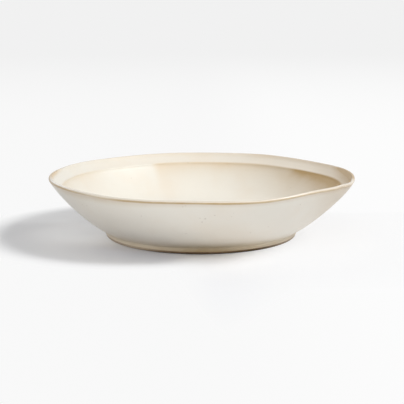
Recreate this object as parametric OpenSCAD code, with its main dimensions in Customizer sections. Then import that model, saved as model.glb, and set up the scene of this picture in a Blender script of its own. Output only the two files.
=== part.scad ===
// Stoneware pasta bowl: a fired clay body with a foot ring, a round lip and a ledge inside,
// and the four glaze coats that are fired onto it.
// Every piece is turned about +Z. The origin is the centre of the foot ring's tread, on the table.

/* [Bowl] */
// Diameter over the lip
rim_d = 228; // [210:1:250]
// Height from the table to the crest of the lip
bowl_h = 45.5; // [40:0.5:52]
// Thickness of the wall, square to its surface, glaze included
wall_t = 4; // [3.4:0.1:4.8]
// Thickness of the floor inside the foot ring, glaze included
floor_t = 5.5; // [4:0.1:7]
// Diameter of the flat part of the floor
floor_d = 96; // [70:1:120]

/* [Foot ring] */
// Diameter of the foot ring, glaze included
foot_d = 145; // [130:1:160]
// Height of the foot ring, up to where the wall flares out
foot_h = 4.8; // [4:0.1:7]
// Width of the bare tread that stands on the table
tread_w = 6; // [4:0.5:10]
// Depth of the recess inside the foot ring
recess_h = 3.2; // [2:0.1:4]
// Radius of the tread's two edges
tread_edge_r = 1.2; // [0.3:0.1:1.4]
// Radius of the hollow between the foot ring and the wall
cove_r = 2; // [1:0.1:3]
// Radius of the hollow where the recess meets the foot ring
recess_cove_r = 1.5; // [0.5:0.1:1.8]

/* [Flaring wall] */
// Rise of the wall from level where it leaves the foot ring, in degrees
flare_start_a = 26; // [15:1:35]
// Rise of the wall from level where it meets the lip, in degrees
flare_end_a = 60; // [50:1:75]
// Pull of the wall's start on its curve, as a share of its span
flare_start_share = 0.28; // [0.2:0.01:0.45]
// Pull of the wall's end on its curve, as a share of its span
flare_end_share = 0.25; // [0.15:0.01:0.4]

/* [Lip and ledge] */
// Radius of the round lip
lip_r = 1.3; // [1:0.1:2]
// Distance from the outside of the lip in to the edge of the ledge
ledge_w = 10; // [8:0.1:12]
// Drop from the crest of the lip to the edge of the ledge
ledge_drop = 7.5; // [6:0.1:9]
// Radius of the ledge's edge
ledge_edge_r = 0.9; // [0.7:0.1:1.5]
// Least inward run of the riser between the ledge and the wall
riser_run = 0.3; // [0:0.1:1]
// Radius of the hollow at the bottom of the riser
riser_cove_r = 3; // [1:0.1:5]

/* [Glaze] */
// Thickness of the glaze coats
glaze_t = 0.5; // [0.3:0.05:0.6]
// Height of the bare clay on the outside of the foot ring, below the glaze line
glaze_line_h = 2; // [1:0.1:2.4]
// Bare margin between the glaze in the recess and the hollow around it
base_margin = 1.2; // [0.4:0.1:4]

/* [Hidden] */
$fn = 120;

// Steps that each stretch of the outline is drawn in
edge_steps = 4;
cove_steps = 6;
lip_steps = 14;
wall_steps = 20;
floor_steps = 14;
search_step = 0.01;

// Share of the wall's curve below which the inside sweeps into the floor
floor_sweep_share = 0.33;
// Gap between the riser's foot and the first point of the wall, as a share of the wall's curve
riser_gap_share = 0.05;
// Share of the riser that its two rounds may take up together
riser_round_share = 0.9;
// Pulls of the sweep between the wall and the floor, as shares of its span
sweep_wall_share = 0.33;
sweep_floor_share = 0.45;

rim_r = rim_d / 2;
foot_r = foot_d / 2;
floor_r = floor_d / 2;
floor_z = recess_h + floor_t;
clay_foot_r = foot_r - glaze_t;
tread_in_r = clay_foot_r - tread_w;
base_glaze_r = tread_in_r - recess_cove_r - base_margin;

// Plane curves, with points as [radius, height]

function aim(a) = [cos(a), sin(a)];
function unit(v) = v / norm(v);
function left_of(v) = [-v[1], v[0]];
function whole_turn(a) = ((a % 360) + 360) % 360;
function reversed(list) = [for (i = [len(list) - 1:-1:0]) list[i]];
function after_first(list) = [for (i = [1:len(list) - 1]) list[i]];
function part_of(list, first, last) = [for (i = [first:last]) list[i]];

function arc(centre, r, from_a, turn_a, steps) =
    [for (i = [0:steps]) centre + r * aim(from_a + turn_a * i / steps)];

// Half the angle of a corner, and how far a round of radius r reaches from it along its two sides
function half_angle(before, corner, after) = acos(unit(before - corner) * unit(after - corner)) / 2;
function corner_reach(r, half_a) = r / tan(half_a);

// The round of a corner, no larger than the shorter of its two sides allows
function rounded(before, corner, after, r, steps) =
    let (
        u = unit(before - corner),
        v = unit(after - corner),
        half_a = half_angle(before, corner, after),
        room = min(norm(before - corner), norm(after - corner)),
        fit_r = min(r, room * tan(half_a)),
        centre = corner + unit(u + v) * fit_r / sin(half_a),
        from = corner + u * corner_reach(fit_r, half_a) - centre,
        to = corner + v * corner_reach(fit_r, half_a) - centre,
        from_a = atan2(from[1], from[0]),
        turn_a = whole_turn(atan2(to[1], to[0]) - from_a + 180) - 180
    )
    arc(centre, fit_r, from_a, turn_a, steps);

function bezier(p, t) =
    pow(1 - t, 3) * p[0] + 3 * pow(1 - t, 2) * t * p[1] + 3 * (1 - t) * pow(t, 2) * p[2] + pow(t, 3) * p[3];
function bezier_heading(p, t) =
    unit(pow(1 - t, 2) * (p[1] - p[0]) + 2 * (1 - t) * t * (p[2] - p[1]) + pow(t, 2) * (p[3] - p[2]));

// Outside of the bowl, from the glaze line up to the lip

foot_corner = [foot_r, foot_h];
cove_reach = corner_reach(cove_r, (90 + flare_start_a) / 2);
lip_centre = [rim_r - lip_r, bowl_h - lip_r];
wall_start = foot_corner + cove_reach * aim(flare_start_a);
wall_end = lip_centre + lip_r * aim(flare_end_a - 90);
wall_span = norm(wall_end - wall_start);
outer_wall = [
    wall_start,
    wall_start + flare_start_share * wall_span * aim(flare_start_a),
    wall_end - flare_end_share * wall_span * aim(flare_end_a),
    wall_end
];
outside = concat(
    [[foot_r, glaze_line_h]],
    rounded([foot_r, 0], foot_corner, foot_corner + wall_span * aim(flare_start_a), cove_r, cove_steps),
    [for (i = [1:wall_steps]) bezier(outer_wall, i / wall_steps)]
);

// Lip, from the top of the outer wall over the crest to the sloped band inside

ledge_edge = [rim_r - ledge_w, bowl_h - ledge_drop];
ledge_to_lip = lip_centre - ledge_edge;
band_a = atan2(ledge_to_lip[1], ledge_to_lip[0]) + asin(lip_r / norm(ledge_to_lip));
lip = arc(lip_centre, lip_r, flare_end_a - 90, band_a + 180 - flare_end_a, lip_steps);
lip_end = lip[lip_steps];

// Inside of the bowl, from the sloped band over the ledge and its riser down to the centre of the floor

function inner_wall(t) = bezier(outer_wall, t) + wall_t * left_of(bezier_heading(outer_wall, t));
riser_shares = [
    for (t = [floor_sweep_share:search_step:1])
        let (p = inner_wall(t))
        if (p[0] <= ledge_edge[0] - riser_run && p[1] < ledge_edge[1]) t
];
riser_share = max(riser_shares);
riser_foot = inner_wall(riser_share);
below_riser = riser_foot - wall_span * bezier_heading(outer_wall, riser_share);
riser_rounds = corner_reach(ledge_edge_r, half_angle(lip_end, ledge_edge, riser_foot))
    + corner_reach(riser_cove_r, half_angle(ledge_edge, riser_foot, below_riser));
riser_fit_share = min(1, riser_round_share * norm(ledge_edge - riser_foot) / riser_rounds);
wall_top_share = riser_share - riser_gap_share;
sweep_start = inner_wall(floor_sweep_share);
sweep_end = [floor_r, floor_z];
sweep_span = norm(sweep_start - sweep_end);
floor_sweep = [
    sweep_start,
    sweep_start - sweep_wall_share * sweep_span * bezier_heading(outer_wall, floor_sweep_share),
    sweep_end + [sweep_floor_share * sweep_span, 0],
    sweep_end
];
inside = concat(
    rounded(lip_end, ledge_edge, riser_foot, riser_fit_share * ledge_edge_r, edge_steps),
    rounded(ledge_edge, riser_foot, below_riser, riser_fit_share * riser_cove_r, edge_steps),
    [for (i = [0:wall_steps]) inner_wall(wall_top_share + (floor_sweep_share - wall_top_share) * i / wall_steps)],
    [for (i = [1:floor_steps]) bezier(floor_sweep, i / floor_steps)],
    [[0, floor_z]]
);

// The glazed surface as one line from the glaze line to the centre, and the clay under it

skin = concat(outside, after_first(lip), inside);
last_point = len(skin) - 1;
rim_first = len(outside) - 1;
rim_last = rim_first + lip_steps;
function heading(i) = unit(skin[min(i + 1, last_point)] - skin[max(i - 1, 0)]);
clay = [
    for (i = [0:last_point])
        let (along = i == 0 ? [0, 1] : i == last_point ? [-1, 0] : heading(i))
        skin[i] + glaze_t * left_of(along)
];

// Underside of the clay, from its centre to the glaze line

underside = concat(
    [[0, recess_h]],
    rounded([0, recess_h], [tread_in_r, recess_h], [tread_in_r, 0], recess_cove_r, cove_steps),
    rounded([tread_in_r, recess_h], [tread_in_r, 0], [clay_foot_r, 0], tread_edge_r, edge_steps),
    rounded([tread_in_r, 0], [clay_foot_r, 0], [clay_foot_r, glaze_line_h], tread_edge_r, edge_steps)
);

// Turns the glaze between two points of the skin
module coat(first, last) {
    rotate_extrude()
        polygon(concat(part_of(skin, first, last), reversed(part_of(clay, first, last))));
}

// Fired clay: floor, wall, lip, ledge and the foot ring with its bare tread
module stoneware_body() {
    color("#b08a63")
        rotate_extrude()
            polygon(concat(underside, clay));
}

// Cream glaze poured inside, from the sloped band to the centre of the floor
module interior_glaze() {
    color("#ece4d2")
        coat(rim_last, last_point);
}

// Cream glaze outside, from the glaze line on the foot ring to the lip
module exterior_glaze() {
    color("#ddd6c6")
        coat(0, rim_first);
}

// Thin glaze over the lip, where the clay shows through brown
module rim_glaze() {
    color("#c6a47d")
        coat(rim_first, rim_last);
}

// Glaze on the underside, inside the bare foot ring
module base_glaze() {
    color("#d8cfbc")
        translate([0, 0, recess_h - glaze_t])
            cylinder(r = base_glaze_r, h = glaze_t);
}

stoneware_body();
interior_glaze();
exterior_glaze();
rim_glaze();
base_glaze();
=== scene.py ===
# %% [markdown]
# # A stoneware pasta bowl
# The bowl is one piece of fired clay with a cream glaze on it. The glaze runs thin over every edge, and there
# the clay shows through as a soft brown line. This lesson turns the bowl on Blender's lathe, the spin tool,
# pulls its lip a little out of true as a potter's hands do, and then builds the glaze from shader nodes.

# %% Load the solids
import math

import bpy
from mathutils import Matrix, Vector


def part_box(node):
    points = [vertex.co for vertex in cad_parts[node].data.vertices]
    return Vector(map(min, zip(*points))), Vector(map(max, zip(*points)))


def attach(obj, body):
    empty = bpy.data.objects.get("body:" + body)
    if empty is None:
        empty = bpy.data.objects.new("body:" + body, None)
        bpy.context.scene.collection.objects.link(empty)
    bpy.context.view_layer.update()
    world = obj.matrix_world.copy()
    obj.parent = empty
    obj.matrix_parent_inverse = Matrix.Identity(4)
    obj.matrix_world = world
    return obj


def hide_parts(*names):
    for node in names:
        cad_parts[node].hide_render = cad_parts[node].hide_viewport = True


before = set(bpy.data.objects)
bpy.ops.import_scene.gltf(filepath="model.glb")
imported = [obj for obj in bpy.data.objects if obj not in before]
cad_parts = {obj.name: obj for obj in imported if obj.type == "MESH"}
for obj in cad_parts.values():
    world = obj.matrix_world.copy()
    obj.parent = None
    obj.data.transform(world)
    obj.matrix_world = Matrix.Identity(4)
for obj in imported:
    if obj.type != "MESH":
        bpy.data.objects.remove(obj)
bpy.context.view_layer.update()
scene = bpy.context.scene
scene.view_settings.view_transform = "Standard"

# %% [markdown]
# ## The outline of the bowl
# A lathe needs one line, the section from the foot ring over the lip to the middle of the floor. The real
# bowl has a low foot ring, a wall that flares in one sweep, a round lip, and inside it a sloped band that
# ends in a ledge. Some sizes are read from the solids and the others match them, in millimetres, except
# that the band is hollowed a little. Straight lines and simple curves are sampled here, and the corners are
# rounded, because no edge of a glazed pot is sharp.

# %% Sizes of the section
MM = 0.001


def corner_of(node, corner):
    return [round(float(side) / MM, 1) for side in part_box(node)[corner]]


RIM_R, _, BOWL_H = corner_of("rim_glaze", 1)
BASE_R, _, RECESS_H = corner_of("base_glaze", 1)
GLAZE_LINE = corner_of("exterior_glaze", 0)[2]
WALL_T, FLOOR_T, GLAZE_T = 4.0, 5.5, 0.5
FOOT_R, FOOT_H = 72.5, 4.8
FLOOR_R, FLOOR_Z = 48.0, RECESS_H + FLOOR_T
LIP_R, LEDGE_W, LEDGE_DROP = 1.3, 10.0, 7.5
LEDGE = (RIM_R - LEDGE_W, BOWL_H - LEDGE_DROP)
print("lip", 2 * RIM_R, "mm across,", BOWL_H, "mm high")

# %% Points on curves
ROUND_PULL = 0.6


def aim(angle, length=1.0):
    return length * math.cos(math.radians(angle)), length * math.sin(math.radians(angle))


def add(p, q, share=1.0):
    return p[0] + share * q[0], p[1] + share * q[1]


def from_to(p, q):
    return q[0] - p[0], q[1] - p[1]


def unit(p):
    return add((0, 0), p, 1 / math.hypot(*p))


def bezier(knots, t):
    weights = ((1 - t) ** 3, 3 * (1 - t) ** 2 * t, 3 * (1 - t) * t ** 2, t ** 3)
    return tuple(sum(w * k[i] for w, k in zip(weights, knots)) for i in (0, 1))


def sweep(knots, steps):
    return [bezier(knots, i / steps) for i in range(steps + 1)]


def straight(p, q, steps):
    return [add(p, from_to(p, q), i / steps) for i in range(steps + 1)]


def arc(centre, radius, start, end, steps):
    return [add(centre, aim(start + (end - start) * i / steps, radius)) for i in range(steps + 1)]


def beside(line, distance):
    moved = []
    for i, p in enumerate(line):
        along = from_to(line[max(i - 1, 0)], line[min(i + 1, len(line) - 1)])
        moved.append(add(p, (-along[1], along[0]), distance / math.hypot(*along)))
    return moved


def soften(before, corner, after, radius, steps):
    back, on = unit(from_to(corner, before)), unit(from_to(corner, after))
    half = math.acos(back[0] * on[0] + back[1] * on[1]) / 2
    reach = radius / math.tan(half)
    start, end = add(corner, back, reach), add(corner, on, reach)
    bend = -ROUND_PULL * reach
    return sweep((start, add(start, back, bend), add(end, on, bend), end), steps)


print("a quarter of a circle ends at", [round(side, 3) for side in arc((0, 0), 1.0, 0.0, 90.0, 4)[-1]])

# %% The outside and the lip
COVE_R, FLARE_START, FLARE_END = 2.0, 26.0, 60.0
START_SHARE, END_SHARE = 0.28, 0.25
FOOT_STEPS, COVE_STEPS, FLARE_STEPS, LIP_STEPS = 4, 8, 72, 40
foot_corner = (FOOT_R, FOOT_H)
cove = soften((FOOT_R, 0.0), foot_corner, add(foot_corner, aim(FLARE_START)), COVE_R, COVE_STEPS)
lip_centre = (RIM_R - LIP_R, BOWL_H - LIP_R)
wall_top = add(lip_centre, aim(FLARE_END - 90, LIP_R))
wall_run = math.hypot(*from_to(cove[-1], wall_top))
flare = (cove[-1], add(cove[-1], aim(FLARE_START, START_SHARE * wall_run)),
         add(wall_top, aim(FLARE_END, END_SHARE * wall_run), -1), wall_top)
foot_side = straight((FOOT_R, GLAZE_LINE), cove[0], FOOT_STEPS)
outside = foot_side[:-1] + cove + sweep(flare, FLARE_STEPS)[1:]

to_lip = from_to(LEDGE, lip_centre)
band_angle = math.degrees(math.atan2(to_lip[1], to_lip[0]) + math.asin(LIP_R / math.hypot(*to_lip)))
lip = arc(lip_centre, LIP_R, FLARE_END - 90, band_angle + 90, LIP_STEPS)
print("points:", len(outside), "outside,", len(lip), "on the lip")

# %% The inside
LEDGE_EDGE_R, RISER_RUN, RISER_COVE_R, BAND_HOLLOW = 0.9, 0.3, 3.0, 0.3
FLOOR_SHARE, SWEEP_WALL_SHARE, SWEEP_FLOOR_SHARE = 0.33, 0.33, 0.45
WALL_STEPS, EDGE_STEPS, RISER_STEPS = 200, 10, 8
BAND_STEPS, SWEEP_STEPS, FLOOR_STEPS = 12, 30, 16
BELOW_RISER, WELL_STRIDE = 12, 2
inner_wall = beside(sweep(flare, WALL_STEPS), WALL_T)[round(FLOOR_SHARE * WALL_STEPS):]
well = [p for p in inner_wall if p[0] < LEDGE[0] - RISER_RUN and p[1] < LEDGE[1]]
riser_foot = well[-1]
ledge = soften(lip[-1], LEDGE, riser_foot, LEDGE_EDGE_R, EDGE_STEPS)
riser = soften(LEDGE, riser_foot, well[-BELOW_RISER], RISER_COVE_R, RISER_STEPS)
well = [p for p in well[::-WELL_STRIDE] if p[1] < riser[-1][1] - RISER_RUN]
floor_end = (FLOOR_R, FLOOR_Z)
floor_run = math.hypot(*from_to(well[-1], floor_end))
heading = unit(from_to(well[-2], well[-1]))
into_floor = (well[-1], add(well[-1], heading, SWEEP_WALL_SHARE * floor_run),
              add(floor_end, (SWEEP_FLOOR_SHARE * floor_run, 0.0)), floor_end)
hollows = [BAND_HOLLOW * math.sin(math.pi * i / BAND_STEPS) for i in range(BAND_STEPS)]
slope = straight(lip[-1], ledge[0], BAND_STEPS)
band = [add(p, aim(band_angle - 90, hollow)) for p, hollow in zip(slope, hollows)]
floor = straight(floor_end, (0.0, FLOOR_Z), FLOOR_STEPS)
inside = band + ledge + riser + well + sweep(into_floor, SWEEP_STEPS)[1:] + floor[1:]
print("points:", len(inside), "inside")

# %% [markdown]
# ## Turning the pieces
# A potter centres the clay and turns it, and spin does the same: a chain of points is extruded one by one
# in edit mode, swept round the vertical axis, and its seam and pole are merged. Each coat of glaze is turned
# as a bare skin and gets its thickness later. Before anything is bent, every point's place on the perfectly
# round pot is kept in an attribute called turned, so that the finishes can follow the lip and the ledge
# wherever the hand-shaping takes them.

# %% Lathe
TURNS, MERGE_BELOW = 300, 1e-6


def only(piece):
    bpy.ops.object.select_all(action="DESELECT")
    piece.select_set(True)
    bpy.context.view_layer.objects.active = piece


def keep_turned(piece):
    places = [0.0] * (3 * len(piece.data.vertices))
    piece.data.vertices.foreach_get("co", places)
    piece.data.attributes.new("turned", "FLOAT_VECTOR", "POINT").data.foreach_set("vector", places)


def lathe(name, line):
    bpy.ops.object.select_all(action="DESELECT")
    bpy.ops.mesh.primitive_plane_add(size=MM)
    piece = bpy.context.active_object
    piece.name = piece.data.name = name
    bpy.ops.object.mode_set(mode="EDIT")
    bpy.ops.mesh.merge(type="CENTER")
    bpy.ops.transform.translate(value=(line[0][0] * MM, 0, line[0][1] * MM))
    for here, there in zip(line, line[1:]):
        step = from_to(here, there)
        bpy.ops.mesh.extrude_region_move(TRANSFORM_OT_translate={"value": (step[0] * MM, 0, step[1] * MM)})
    bpy.ops.mesh.select_all(action="SELECT")
    bpy.ops.mesh.spin(steps=TURNS, angle=2 * math.pi, center=(0, 0, 0), axis=(0, 0, 1))
    bpy.ops.mesh.select_all(action="SELECT")
    bpy.ops.mesh.remove_doubles(threshold=MERGE_BELOW)
    bpy.ops.mesh.normals_make_consistent(inside=False)
    bpy.ops.object.mode_set(mode="OBJECT")
    keep_turned(piece)
    print(name, "turned,", len(piece.data.polygons), "faces")
    return piece


# %% [markdown]
# ## The coats and the clay
# A skin that is open at its edges has no inside, so its normals may point either way. The sum of all its
# faces tells which way it looks: the coats inside and on the lip look up, and those outside and below look
# down. The clay's line runs from the axis round to the axis, so it closes by itself. It lies under the three
# upper coats by their thickness and a hair more.

# %% The four coats
BASE_EDGE_R, BASE_EDGE_STEPS, BASE_STEPS = 0.35, 5, 14


def face_the_air(piece, up):
    lean = sum(face.normal.z * face.area for face in piece.data.polygons)
    if (lean > 0) != up:
        only(piece)
        bpy.ops.object.mode_set(mode="EDIT")
        bpy.ops.mesh.select_all(action="SELECT")
        bpy.ops.mesh.flip_normals()
        bpy.ops.object.mode_set(mode="OBJECT")
    return piece


coat_outside = face_the_air(lathe("glaze_outside", outside), up=False)
coat_rim = face_the_air(lathe("glaze_rim", lip), up=True)
coat_inside = face_the_air(lathe("glaze_inside", inside), up=True)
base_low, base_end = RECESS_H - GLAZE_T, (BASE_R, RECESS_H)
base_edge = soften((0.0, base_low), (BASE_R, base_low), base_end, BASE_EDGE_R, BASE_EDGE_STEPS)
base_line = straight((0.0, base_low), base_edge[0], BASE_STEPS)[:-1] + base_edge + [base_end]
coat_base = face_the_air(lathe("glaze_base", base_line), up=False)

# %% The clay
TREAD_W, TREAD_EDGE_R, RECESS_COVE_R, ROUND_STEPS = 6.0, 1.2, 1.5, 6
TUCK = 0.02
clay_r = FOOT_R - GLAZE_T
tread_r = clay_r - TREAD_W
clay_skin = beside(outside + lip[1:] + inside[1:], GLAZE_T + TUCK)
clay_skin[0], clay_skin[-1] = (clay_r, GLAZE_LINE), (0.0, FLOOR_Z - GLAZE_T)
recess_end, tread_in, tread_out = (tread_r, RECESS_H), (tread_r, 0.0), (clay_r, 0.0)
recess_cove = soften((0.0, RECESS_H), recess_end, tread_in, RECESS_COVE_R, ROUND_STEPS)
recess = straight((0.0, RECESS_H), recess_cove[0], BASE_STEPS)[:-1] + recess_cove
tread = (soften(recess_end, tread_in, tread_out, TREAD_EDGE_R, ROUND_STEPS)
         + soften(tread_in, tread_out, clay_skin[0], TREAD_EDGE_R, ROUND_STEPS))
clay = lathe("clay_body", recess + tread + clay_skin)

# %% [markdown]
# ## Out of true
# The lip of a hand-made bowl is never quite level or quite round. Each pull is a Warp modifier: a point on
# the lip is lifted, lowered or, on the right, drawn outward by up to 1.7 mm, and what lies within its reach
# follows softly. Then a cloud texture presses the walls in and out by a fraction of a millimetre, but not
# the foot, which is ground flat. Both act alike on every piece above the foot, so the coats stay on the clay.

# %% Pulls on the lip
# Each pull is an angle in degrees, and then its rise, its way outward and its reach in millimetres
PULLS = ((-152, 0.75, 0, 46), (-136, 0.4, 0, 30), (-116, -0.25, 0, 32), (-94, 0.35, 0, 26),
         (-70, -0.5, 0, 34), (-58, 0.5, 0, 24), (-46, 1.7, 0, 30), (-30, 0.95, 0, 34),
         (-15, -1.2, 0, 34), (0, 0, 1.35, 60), (36, -0.65, 0, 50), (66, 0.25, 0, 36),
         (131, -0.45, 0, 50), (168, -0.2, 0, 36))
above_foot = (clay, coat_inside, coat_outside, coat_rim)


def pull(angle, rise, out, reach):
    ends = []
    for share in (0, 1):
        x, y = aim(angle, (RIM_R + share * out) * MM)
        bpy.ops.object.empty_add(location=(x, y, (BOWL_H + share * rise) * MM))
        ends.append(bpy.context.active_object)
    bpy.context.view_layer.update()
    for piece in above_foot:
        only(piece)
        warp = piece.modifiers.new("pull", "WARP")
        warp.object_from, warp.object_to = ends
        warp.falloff_type, warp.falloff_radius = "SMOOTH", reach * MM
        bpy.ops.object.modifier_apply(modifier=warp.name)
    for end in ends:
        bpy.data.objects.remove(end)


for angle, rise, out, reach in PULLS:
    pull(angle, rise, out, reach)
print("pulled the lip in", len(PULLS), "places")

# %% Presses on the walls
HAND_SCALE, PRESS, STILL_BELOW, FREE_ABOVE = 0.035, 0.35, 6.0, 16.0
hand = bpy.data.textures.new("hand_of_the_potter", "CLOUDS")
hand.noise_scale = HAND_SCALE


def press(piece):
    only(piece)
    free = piece.vertex_groups.new(name="free_to_move")
    for point in piece.data.vertices:
        share = (point.co.z / MM - STILL_BELOW) / (FREE_ABOVE - STILL_BELOW)
        free.add([point.index], min(max(share, 0.0), 1.0), "REPLACE")
    push = piece.modifiers.new("press", "DISPLACE")
    push.texture, push.texture_coords, push.vertex_group = hand, "LOCAL", free.name
    push.strength, push.mid_level = PRESS * MM, 0.5
    bpy.ops.object.modifier_apply(modifier=push.name)
    piece.vertex_groups.clear()


for piece in above_foot:
    press(piece)
print("pressed", len(above_foot), "pieces by up to", PRESS / 2, "mm")

# %% [markdown]
# ## A body for the glaze
# A coat of glaze is about half a millimetre thick. Solidify gives each skin that body inwards, so that its
# outer face stays in place. Shading by angle keeps the pot smooth and the ends of the coats crisp.

# %% Thickness and smooth shading
SMOOTH_BELOW = 50
pieces = above_foot + (coat_base,)
for piece in pieces:
    only(piece)
    if piece is not clay:
        coat = piece.modifiers.new("thickness", "SOLIDIFY")
        coat.thickness, coat.offset = GLAZE_T * MM, -1.0
        bpy.ops.object.modifier_apply(modifier=coat.name)
    bpy.ops.object.shade_smooth_by_angle(angle=math.radians(SMOOTH_BELOW))
    print(piece.name, len(piece.data.polygons), "faces in all")

# %% [markdown]
# ## Writing shaders as sums
# A glaze is many soft masks laid over each other. Wiring them by hand hides the idea, so a small class
# wraps a node socket, and adding or multiplying two of them adds the Math node that does it. Every other
# node comes from one method. A mask rises or falls over a stretch, or lies near a place. A level that
# changes along the bowl is written as its start and then, for each stretch, the two ends and the change
# between them.


# %% Wires
class Wire:
    def __init__(self, tree, socket):
        self.tree, self.socket = tree, socket

    # Inputs are given by name, or by number as i0, i1 and so on
    def node(self, kind, settings=None, out=0, **inputs):
        made = self.tree.nodes.new("ShaderNode" + kind)
        for key, value in (settings or {}).items():
            setattr(made, key, value)
        for key, value in inputs.items():
            slot = made.inputs[int(key[1:]) if key[1:].isdigit() else key]
            if isinstance(value, Wire):
                self.tree.links.new(value.socket, slot)
            else:
                slot.default_value = value
        return Wire(self.tree, made.outputs[out])

    def sum(self, operation, a, b=0.0):
        return self.node("Math", {"operation": operation}, i0=a, i1=b)

    def __add__(self, other):
        return self.sum("ADD", self, other)

    __radd__ = __add__

    def __sub__(self, other):
        return self.sum("SUBTRACT", self, other)

    def __rsub__(self, other):
        return self.sum("SUBTRACT", other, self)

    def __mul__(self, other):
        return self.sum("MULTIPLY", self, other)

    __rmul__ = __mul__

    def __truediv__(self, other):
        return self.sum("DIVIDE", self, other)

    def __pow__(self, other):
        return self.sum("POWER", self, other)

    def __rpow__(self, other):
        return self.sum("POWER", other, self)

    def sine(self):
        return self.sum("SINE", self)

    def rise(self, low, high):
        return self.node("MapRange", {"interpolation_type": "SMOOTHSTEP"}, i0=self, i1=low, i2=high)

    def fall(self, low, high):
        return 1.0 - self.rise(low, high)

    def near(self, centre, reach):
        return self.sum("ABSOLUTE", self - centre).fall(0.0, reach)

    def along(self, start, *stretches):
        level = start
        for low, high, change in stretches:
            level = level + change * self.rise(low, high)
        return level

    def limit(self):
        return self.node("Clamp", i0=self)

    def blend(self, first, second):
        return self.node("Mix", {"data_type": "RGBA"}, out=2, i0=self, i6=first, i7=second)

    def noise(self, scale, detail=2.0, roughness=0.5):
        return self.node("TexNoise", i0=self, Scale=scale, Detail=detail, Roughness=roughness)

    def stretched(self, x, y, z):
        return self.node("VectorMath", {"operation": "MULTIPLY"}, i0=self, i1=(x, y, z))

    def split(self):
        parts = self.node("SeparateXYZ", i0=self).socket.node.outputs
        return [Wire(self.tree, part) for part in parts]

    def feed(self, shader, name):
        self.tree.links.new(self.socket, shader.inputs[name])


# %% Places, colours and new finishes
def far_from(x, y, centre=(0.0, 0.0)):
    across, behind = x - centre[0], y - centre[1]
    return (across * across + behind * behind) ** 0.5


def colour(red, green, blue):
    return red, green, blue, 1.0


def grey(level):
    return colour(level, level, level)


def new_finish(name):
    finish = bpy.data.materials.new(name)
    finish.use_nodes = True
    tree = finish.node_tree
    shader = next(n for n in tree.nodes if n.type == "BSDF_PRINCIPLED")
    place = tree.nodes.new("ShaderNodeTexCoord")
    print("started", name)
    return finish, shader, Wire(tree, place.outputs["Object"])


# %% [markdown]
# ## The glaze
# The cream glaze is a satin coat over a brown clay. Where it lies thick it is pale and a little clouded, and
# where it runs thin over an edge the brown comes through. So each coat has the same recipe: a cream that is
# warmer in some places, a stain that is honey at the two sides of the foot, paler there partly as painted
# light, olive between them and amber or brown higher up, and a thinness mask that mixes the two. The mask is
# made from the places kept in turned and broken up by noise. Then come iron specks, and in the bump the
# faint rings that the potter's fingers leave.

# %% Colours of the glaze
CREAM, WARM_CREAM = colour(0.80, 0.765, 0.685), colour(0.785, 0.715, 0.61)
AMBER, BROWN = colour(0.62, 0.425, 0.20), colour(0.48, 0.332, 0.158)
# Honey at the sides of the foot is partly stain and partly painted light
HONEY_AND_PAINTED_LIGHT, OLIVE = colour(0.80, 0.60, 0.33), colour(0.36, 0.26, 0.125)
CLOUDED, CLOUD_WARMTH, STREAKED, STREAK_WARMTH = (0.42, 0.75), 0.5, (0.5, 0.8), 0.15
TONE_ACROSS, TONE_UP = (3.5, (-100.0, -30.0, -2.5)), (2.0, (10.0, 38.0, -2.0))
BAND_ACROSS, BAND_UP = (0.0, (-100.0, -75.0, 1.0), (15.0, 60.0, 0.8)), (LEDGE[1] - 0.5, LEDGE[1] + 1.0)
ABOVE_FOOT, TO_THE_RIGHT, FOOT_FRONT = (6.0, 20.0), (30.0, 80.0), (0.0, 74.0)


def cream_of(x, z, cloud, runs, tone, band):
    warmth = cloud.rise(*CLOUDED) * CLOUD_WARMTH + runs.rise(*STREAKED) * STREAK_WARMTH
    warmth = warmth + tone * (x.along(*TONE_ACROSS) + z.along(*TONE_UP))
    warmth = warmth + band * x.along(*BAND_ACROSS) * z.rise(*BAND_UP)
    return warmth.limit().blend(CREAM, WARM_CREAM)


def stain_of(x, z, stain):
    at_foot = x.near(*FOOT_FRONT).blend(HONEY_AND_PAINTED_LIGHT, OLIVE)
    higher = x.rise(*TO_THE_RIGHT).blend(stain, BROWN)
    return z.rise(*ABOVE_FOOT).blend(at_foot, higher)


# %% Iron specks
IRON = colour(0.22, 0.14, 0.08)
SPECK_SCALE, SPECK_SIZE = 260.0, (0.06, 0.13)
FIELD_SCALE, IN_FIELD = 90.0, (0.62, 0.68)
SPOT_CORE, SPOT_DEPTH = 0.4, 0.6


def on_wall(angle, height):
    radius = min(outside, key=lambda p: abs(p[1] - height))[0]
    x, y = aim(angle, radius)
    return x * MM, y * MM, height * MM


def specks_of(place, turned, spots):
    dots = place.node("TexVoronoi", {"feature": "F1"}, i0=place, Scale=SPECK_SCALE)
    specks = dots.fall(*SPECK_SIZE) * place.noise(FIELD_SCALE, 1.0).rise(*IN_FIELD)
    for angle, height, size in spots:
        spot = on_wall(angle, height)
        away = turned.node("VectorMath", {"operation": "DISTANCE"}, out=1, i0=turned, i1=spot) / MM
        specks = specks + away.fall(SPOT_CORE * size, size) * SPOT_DEPTH
    return specks


# %% Throwing rings and grain
RING_PITCH, RING_SWAY = 2.4, 6.0
RING_DEPTH = (0.003, (0.6 * BOWL_H, 0.9 * BOWL_H, 0.004))
GRAIN_SCALE, GRAIN_DEPTH, MOTTLE_DEPTH, PIT_DEPTH = 700.0, 0.003, 0.015, 0.05


def relief_of(place, z, cloud, mottle, specks):
    rings = (z * RING_PITCH + cloud * RING_SWAY).sine() * z.along(*RING_DEPTH)
    grain = place.noise(GRAIN_SCALE, 2.0) * GRAIN_DEPTH
    height = rings + grain + mottle * MOTTLE_DEPTH - specks * PIT_DEPTH
    return place.node("Bump", Height=height, Distance=MM, Strength=1.0)


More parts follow.
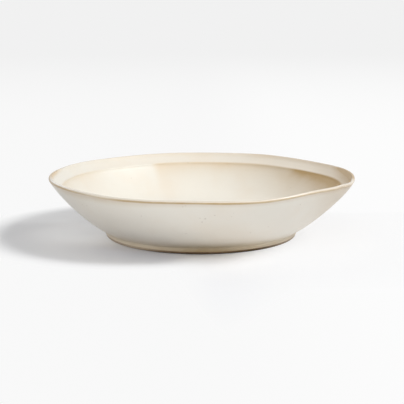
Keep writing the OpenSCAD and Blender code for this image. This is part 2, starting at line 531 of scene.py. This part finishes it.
# %% Recipe of the glaze
# Each noise is its scale, its detail and its roughness
CLOUD, MOTTLE, RUNS = (32.0, 4.0, 0.55), (150.0, 3.0, 0.6), (120.0, 3.0, 0.6)
RUN_STRETCH, SPECK_TINT, GLAZE_IOR = (1.0, 1.0, 0.25), 0.45, 1.5
SATIN, MOTTLE_ROUGH, THIN_ROUGH, UNDER_LEDGE = 0.28, 0.08, 0.10, (LEDGE[1] - 2.5, 4.5)


def finish_glaze(name, thinness, tone=0.0, band=0.0, rough=SATIN, dull=0.0, stain=BROWN, spots=()):
    finish, shader, place = new_finish(name)
    turned = place.node("Attribute", {"attribute_name": "turned"}, out=1)
    x, y, z = (side / MM for side in turned.split())
    cloud, mottle = place.noise(*CLOUD), place.noise(*MOTTLE)
    runs = place.stretched(*RUN_STRETCH).noise(*RUNS)
    thin = thinness(x, y, far_from(x, y), z, cloud, mottle, runs).limit()
    glazed = thin.blend(cream_of(x, z, cloud, runs, tone, band), stain_of(x, z, stain))
    specks = specks_of(place, turned, spots)
    (specks * SPECK_TINT).limit().blend(glazed, IRON).feed(shader, "Base Color")
    roughness = rough + MOTTLE_ROUGH * mottle + THIN_ROUGH * thin + dull * z.near(*UNDER_LEDGE)
    roughness.feed(shader, "Roughness")
    relief_of(place, z, cloud, mottle, specks).feed(shader, "Normal")
    shader.inputs["IOR"].default_value = GLAZE_IOR
    return finish


# %% [markdown]
# ## Where each coat runs thin
# On the lip the brown gathers in a narrow line on its outer side, with a tan crest above and a tan fade
# below. The line is strong at the left end, all but gone beside it, clear in the middle and fainter on the
# right, and the crest is brown at both tips. Inside, the glaze has run off the edge of the ledge, most of
# all on the right, and left a brown band that fades down the wall. Outside, the foot has been wiped, most of
# all in the middle, and its sides show less stain, partly as painted light. Places are in millimetres, and
# a turn is x over r, from -1 at the left to 1 at the right. A thinness of 1 shows the stain alone.

# %% Thin places on the lip
CREST_UP, CREST_ACROSS = (BOWL_H - 3.5, BOWL_H - 0.6), (0.86, (-113.0, -107.0, -0.8), (-85.0, -50.0, 0.08))
BACK_HALF, BACK_ACROSS = (-25.0, 15.0), (0.0, (30.0, 60.0, 0.16), (80.0, 100.0, -0.08))
RIGHT_TIP, BEHIND_TIP = (105.5, 112.0), (-26.0, -12.0)
LINE_Z, LINE_SWAY = BOWL_H - LIP_R, 0.6
LINE_FOOT, LINE_TOP = (LINE_Z - 1.3, LINE_Z - 0.4), (LINE_Z + 0.2, LINE_Z + 0.8)
LINE_ACROSS, LINE_GAP, GAP_DEPTH = (0.93, (-108.0, -90.0, -0.35), (5.0, 85.0, -0.30)), (-71.0, 27.0), 0.54
FADE_ACROSS, FADE_RUN = (0.38, (-80.0, 10.0, -0.12)), (7.0, (-80.0, 10.0, -3.0))
FADE_TOP = (LINE_Z - 0.2, LINE_Z + 0.5)


def thin_crest(x, y, z):
    at_back = y.rise(*BACK_HALF) * x.along(*BACK_ACROSS)
    at_tip = x.rise(*RIGHT_TIP) * y.rise(*BEHIND_TIP)
    return z.rise(*CREST_UP) * (x.along(*CREST_ACROSS) + at_back + at_tip)


def thin_line(x, z):
    strength = x.along(*LINE_ACROSS) - GAP_DEPTH * x.near(*LINE_GAP)
    return z.rise(*LINE_FOOT) * z.fall(*LINE_TOP) * strength


def thin_fade(x, z):
    below = (z - LINE_Z) / x.along(*FADE_RUN) + 1.0
    return below.rise(0.0, 1.0) * z.fall(*FADE_TOP) * x.along(*FADE_ACROSS)


def thin_lip(x, y, z, cloud, mottle, outer):
    z = z + LINE_SWAY * (cloud - 0.5)
    thin = thin_crest(x, y, z) + outer * (thin_line(x, z) + thin_fade(x, z))
    return thin * (0.5 + 0.5 * cloud + 0.5 * mottle)


# %% Thin places inside
LEDGE_EDGE, LEDGE_TURN = LEDGE[1] + 0.3, (-0.8, 0.6)
BAND_THIN = (0.0, (70.0, 92.0, 0.1), (86.0, 102.0, 0.22), (101.0, 112.0, 0.7))
WALL_THIN, LEFT_THIN = (0.0, (15.0, 55.0, 0.08)), (0.28, (-92.0, -72.0, -0.28))
MIDDLE_FROM, MIDDLE_THIN, SPOT_PLACE, SPOT_THIN = (-0.42, -0.34), 0.56, (22.0, 18.0), 0.14
PATCH_EDGE, PATCH_SPREAD, PATCH_DROP = (0.69, 0.79), (0.45, 1.0), (0.0, 9.0)
OFF_FLOOR, PATCH_THIN = (45.0, 88.0), 0.54
FADE_SHARE, FADE_DROP, LONGER_AT = 0.37, (5.5, (82.0, 98.0, 8.0)), (-34.0, 34.0)
LEFT_LONGER, PATCH_LONGER, TURN_SWAY = 3.5, 10.0, 0.08


def right_patch(r, turn, drop):
    edge = turn.rise(*PATCH_EDGE)
    return (edge + drop.rise(*PATCH_DROP) * (turn.rise(*PATCH_SPREAD) - edge)) * r.rise(*OFF_FLOOR)


def thin_ledge(x, r, drop, cloud):
    turn = x / r + TURN_SWAY * (cloud - 0.5)
    patch = right_patch(r, turn, drop)
    middle = turn.rise(*MIDDLE_FROM) * (MIDDLE_THIN + SPOT_THIN * x.near(*SPOT_PLACE))
    run = x.along(*FADE_DROP) + LEFT_LONGER * x.near(*LONGER_AT) + PATCH_LONGER * patch
    return (x.along(*LEFT_THIN) + middle + PATCH_THIN * patch) * FADE_SHARE ** (drop / run)


def thin_inside(x, y, r, z, cloud, mottle, runs):
    drop = LEDGE_EDGE - z
    under = drop.rise(*LEDGE_TURN)
    on_band = (1.0 - under) * x.along(*BAND_THIN) + under * x.along(*WALL_THIN)
    below = under * thin_ledge(x, r, drop, cloud) * (0.65 + 0.4 * cloud + 0.3 * runs)
    return thin_lip(x, y, z, cloud, mottle, 0.0) + on_band + below


# %% Thin places outside, on the rim and below
# Less stain at the two sides of the foot is partly wiping and partly painted light
WIPED_UP, WIPED_BEND, WIPED_FRONT = (-2.0, 17.0), 1.3, (2.0, 62.0)
SIDES_WIPED_AND_LIT, WIPED_MORE = 0.5, 0.65
RIGHT_WALL = (0.0, (66.0, 104.0, 0.48))
OUTER_SIDE = (lip_centre[0] + 0.2, RIM_R - 0.4)
BASE_RING, BASE_THIN = (BASE_R - 5.0, BASE_R), 0.7


def thin_outside(x, y, r, z, cloud, mottle, runs):
    wiped = z.fall(*WIPED_UP) ** WIPED_BEND * (SIDES_WIPED_AND_LIT + WIPED_MORE * x.near(*WIPED_FRONT))
    at_foot = wiped * (0.7 + 0.3 * cloud + 0.3 * mottle)
    return thin_lip(x, y, z, cloud, mottle, 1.0) + x.along(*RIGHT_WALL) + at_foot


def thin_on_rim(x, y, r, z, cloud, mottle, runs):
    return thin_lip(x, y, z, cloud, mottle, r.rise(*OUTER_SIDE))


def thin_below(x, y, r, z, cloud, mottle, runs):
    return r.rise(*BASE_RING) * BASE_THIN * (0.6 + 0.8 * mottle)


# %% Mix the four coats
# Each spot of iron is an angle in degrees, and then its height and its size in millimetres
IRON_SPOTS = ((-88.4, 32.4, 0.9), (-89.5, 29.7, 0.8), (-90.3, 32.7, 0.6), (-85.1, 35.0, 0.7))
glaze_outside = finish_glaze("cream_glaze_outside", thin_outside, tone=0.10, spots=IRON_SPOTS)
glaze_rim = finish_glaze("rim_break_glaze", thin_on_rim, tone=0.05, band=0.5, rough=0.16)
glaze_inside = finish_glaze("cream_glaze_inside", thin_inside, band=0.5, dull=0.12, stain=AMBER)
glaze_base = finish_glaze("base_glaze", thin_below, tone=0.2)
print("mixed four coats of glaze")

# %% [markdown]
# ## The bare clay
# The foot ring is wiped clean of glaze so that the bowl doesn't stick to the kiln shelf. Bare stoneware is
# matt, sandy and toasted brown, with darker grains of grog. On this bowl its two sides are painted paler, as
# painted light, and between them a painted shade darkens it towards the table.

# %% Recipe of the clay
SAND, TOASTED, GROG = colour(0.30, 0.19, 0.10), colour(0.21, 0.13, 0.07), colour(0.15, 0.09, 0.05)
# The sides of the foot are painted paler as painted light, and a near-black painted shade darkens the tread
PAINTED_LIT_SAND, PAINTED_TREAD_SHADE = colour(0.56, 0.45, 0.33), colour(0.05, 0.035, 0.02)
TOAST_SCALE, SAND_SCALE, GROG_SCALE = (45.0, 4.0, 0.6), (900.0, 3.0, 0.7), 600.0
TOASTING, GROG_SIZE, GROG_SHARE = (0.3, 0.7), (0.08, 0.2), 0.5
CLAY_FRONT, FRONT_SHARE, TREAD_UP = (10.0, 74.0), (0.05, 0.75), (0.3, 2.2)
TREAD_SHADE_SIDES, TREAD_SHADE_FRONT = 0.05, 0.85
CLAY_ROUGH, SAND_ROUGH, SAND_DEPTH = 0.72, 0.2, 0.12
fired_clay, shader, place = new_finish("fired_clay")
grain = place.noise(*SAND_SCALE)
grog = place.node("TexVoronoi", {"feature": "F1"}, i0=place, Scale=GROG_SCALE)
sand = place.noise(*TOAST_SCALE).rise(*TOASTING).blend(SAND, TOASTED)
sand = (grog.fall(*GROG_SIZE) * GROG_SHARE).blend(sand, GROG)
x, _, z = (side / MM for side in place.split())
front = x.near(*CLAY_FRONT).rise(*FRONT_SHARE)
# Painted shade along the tread where it meets the table, strongest in front
painted_tread_shade = (TREAD_SHADE_SIDES + TREAD_SHADE_FRONT * front) * z.fall(*TREAD_UP)
painted_tread_shade.blend(front.blend(PAINTED_LIT_SAND, sand), PAINTED_TREAD_SHADE).feed(shader, "Base Color")
(CLAY_ROUGH + SAND_ROUGH * grain).feed(shader, "Roughness")
place.node("Bump", Height=grain * SAND_DEPTH, Distance=MM, Strength=1.0).feed(shader, "Normal")
print("fired the clay")

# %% [markdown]
# ## Dressing the bowl
# Each piece gets its finish and takes the place of one of the solids in what is seen. A bowl has no moving
# parts, so all its pieces ride on one body.

# %% Give each piece its finish and its node
plan = ((clay, fired_clay, "stoneware_body", "fired_clay"),
        (coat_inside, glaze_inside, "interior_glaze", "cream_glaze_inside"),
        (coat_outside, glaze_outside, "exterior_glaze", "cream_glaze_outside"),
        (coat_rim, glaze_rim, "rim_glaze", "rim_break_glaze"),
        (coat_base, glaze_base, "base_glaze", "base_glaze"))
for piece, finish, node, slot in plan:
    piece.data.materials.clear()
    piece.data.materials.append(finish)
    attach(piece, "root")
    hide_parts(node)
print("dressed", len(plan), "nodes")

# %% [markdown]
# ## The studio
# The bowl stands on a white table in a white room. Its shadow falls to the left, and there the table is lit
# like any other thing. Around that shadow, from one round edge on, the table glows to the camera and in
# reflections, as paper in a photographer's studio does, so that edge of the shadow is painted. The glow is
# a painted pool of light, whiter to the right, and far off it fades to the white that the room has. Under
# the left of the bowl the glow is a painted grey shade. In front on the left, along the foot, painted shade
# makes the table darker where the two nearly touch, and bluer against the warm light the bowl throws on it.

# %% Table
TABLE_SIZE, TABLE_ROUGH = 16.0, 0.9
TABLE_WHITE, PAINTED_SHADE_BLUE = colour(0.885, 0.89, 0.908), colour(0.0, 0.04, 0.25)
bpy.ops.object.select_all(action="DESELECT")
bpy.ops.mesh.primitive_plane_add(size=TABLE_SIZE, location=(0, 0, 0))
table = bpy.context.active_object
table.name = "table"
white, shader, place = new_finish("white_table")
shader.inputs["Roughness"].default_value = TABLE_ROUGH
shader.inputs["Specular IOR Level"].default_value = 0.0
print("laid a table of", TABLE_SIZE, "m")

# %% Shadow and shade on the table
# Stretches in millimetres from the middle of the bowl
SHADOW_CENTRE, SHADOW_EDGE = (-52.5, 5.0), (92.5, 124.5)
SHADE_OUT, SHADE_FRONT, SHADE_BACK, SHADE_RIGHT = (80.0, 140.0), (-55.0, 0.0), (20.0, 60.0), (-60.0, 0.0)
CONTACT_OUT, CONTACT_FRONT, CONTACT_RIGHT = (70.0, 125.0), (30.0, 75.0), (-30.0, 0.0)
BACK_SHADE, PAINTED_SHADE_SHARE = 0.6, 0.22
x, y, _ = (side / MM for side in place.split())
ahead, away = 0.0 - y, far_from(x, y)
# The glow starts at this round edge, so the outer edge of the shadow is painted
past_shadow = far_from(x, y, SHADOW_CENTRE).rise(*SHADOW_EDGE)
# Painted shade: under the left of the bowl the glow is the grey SHADE, lighter than the lit table there
shaded = (away.fall(*SHADE_OUT) * y.rise(*SHADE_FRONT) + BACK_SHADE * y.rise(*SHADE_BACK)).limit()
shaded = shaded * x.fall(*SHADE_RIGHT) * (1.0 - past_shadow)
# Painted shade: the table is darker and bluer along the foot, where bowl and table nearly touch
painted_contact_shade = away.fall(*CONTACT_OUT) * ahead.rise(*CONTACT_FRONT) * x.fall(*CONTACT_RIGHT)
(painted_contact_shade * PAINTED_SHADE_SHARE).blend(TABLE_WHITE, PAINTED_SHADE_BLUE).feed(shader, "Base Color")
print("shadow ends", SHADOW_EDGE[1] - SHADOW_CENTRE[0], "mm to the left")

# %% Glow of the table
PAPER, WHITE, FAR_PAPER, SHADE = 0.945, 0.975, 0.88, 0.64
WHITER, FAR_STRETCH, HALVES = (-20.0, 140.0), (400.0, 3000.0), (-20.0, 20.0)
GLOW_BACK, GLOW_FRONT, GLOW_RIGHT, GLOW_FAR = (70.0, 115.0), (110.0, 300.0), (0.0, 65.0), (220.0, 500.0)
RIGHT_GLOW, SHADE_GLOW = 0.8, 0.7


def seen_rays(wire):
    rays = wire.node("LightPath").socket.node.outputs
    kinds = ("Camera", "Glossy", "Transmission")
    camera, glossy, glass = (Wire(wire.tree, rays[f"Is {kind} Ray"]) for kind in kinds)
    return (camera + glossy + glass).limit()


# A painted pool of light: the glow is whiter towards the window on the right
paper = x.rise(*WHITER).blend(grey(PAPER), grey(WHITE))
paper = away.rise(*FAR_STRETCH).blend(paper, grey(FAR_PAPER))
glow = place.node("Emission", Color=shaded.blend(paper, grey(SHADE)), Strength=1.0)
right = x.rise(*HALVES)
glowing = (1.0 - right) * past_shadow + right * y.rise(*GLOW_BACK) + RIGHT_GLOW * x.rise(*GLOW_RIGHT)
glowing = glowing + ahead.rise(*GLOW_FRONT) + away.rise(*GLOW_FAR) + SHADE_GLOW * shaded
table_end = next(n for n in place.tree.nodes if n.type == "OUTPUT_MATERIAL")
surface = place.node("MixShader", i0=seen_rays(place) * glowing.limit(),
                     i1=Wire(place.tree, shader.outputs[0]), i2=glow)
surface.feed(table_end, "Surface")
table.data.materials.append(white)
print("table glows at", PAPER, "to", WHITE, "near the bowl and", FAR_PAPER, "far off")

# %% Room
ROOM = 0.20
room = bpy.data.worlds.new("white_room")
room.use_nodes = True
scene.world = room
backdrop = next(n for n in room.node_tree.nodes if n.type == "BACKGROUND")
backdrop.inputs["Color"].default_value = grey(1.0)
sky = Wire(room.node_tree, backdrop.outputs[0])
(ROOM + (FAR_PAPER - ROOM) * seen_rays(sky)).feed(backdrop, "Strength")
print("room lights the bowl at", ROOM)

# %% [markdown]
# ## Softboxes
# A large window on the right gives the main light and the shadow. A slim and faint panel hangs above it,
# rolled to one side, and two reflectors and a ceiling fill in from the front, the back and above. The energy
# grows with the square of the distance, so that a level lights the bowl about alike from any distance.

# %% Lamps
# Each is a name, its angles round the bowl and above the table, width and height in metres, level and roll
SOFTBOXES = (("window", -7.7, 43.5, 1.1, 1.1, 0.635, 0.0),
             ("panel", 3.0, 54.0, 1.3, 0.62, 0.015, -36.0),
             ("front reflector", -100.0, 30.0, 3.0, 2.2, 0.50, 0.0),
             ("ceiling", 0.0, 88.0, 2.4, 2.4, 0.08, 0.0),
             ("back reflector", 135.0, 35.0, 2.6, 2.0, 0.175, 0.0))
LAMP_AWAY = 3.0


def hang(name, azimuth, height, wide, tall, level, roll):
    flat, up = aim(height, LAMP_AWAY)
    x, y = aim(azimuth, flat)
    bpy.ops.object.light_add(type="AREA", location=(x, y, up))
    lamp = bpy.context.active_object
    lamp.name, lamp.data.shape = name, "RECTANGLE"
    lamp.data.size, lamp.data.size_y = wide, tall
    lamp.data.energy = level * math.pi ** 2 * LAMP_AWAY ** 2
    lamp.rotation_euler = (-lamp.location).to_track_quat("-Z", "Y").to_euler()
    lamp.rotation_euler.rotate_axis("Z", math.radians(roll))
    print(name, "at", [round(v, 2) for v in lamp.location])


for softbox in SOFTBOXES:
    hang(*softbox)

# %% [markdown]
# ## The camera
# The bowl is seen from the front and a little above the lip, through a long lens. The camera's height and
# lens were worked out from the widths of the lip and the foot and from how open the lip's ellipse looks.

# %% Camera
TILT, CAMERA_AWAY, LENS_PX, FRAME_PX, SENSOR = 10.8, 0.8, 1053.3, 404, 36.0
TARGET_X, TARGET_Z = 0.8 * MM, 23.6 * MM
back_off, lift = aim(TILT, CAMERA_AWAY)
bpy.ops.object.camera_add(location=(TARGET_X, -back_off, TARGET_Z + lift),
                          rotation=(math.radians(90 - TILT), 0, 0))
camera = bpy.context.active_object
camera.data.sensor_width = SENSOR
camera.data.lens = SENSOR * LENS_PX / FRAME_PX
scene.camera = camera
print("lens", round(camera.data.lens, 1), "mm")
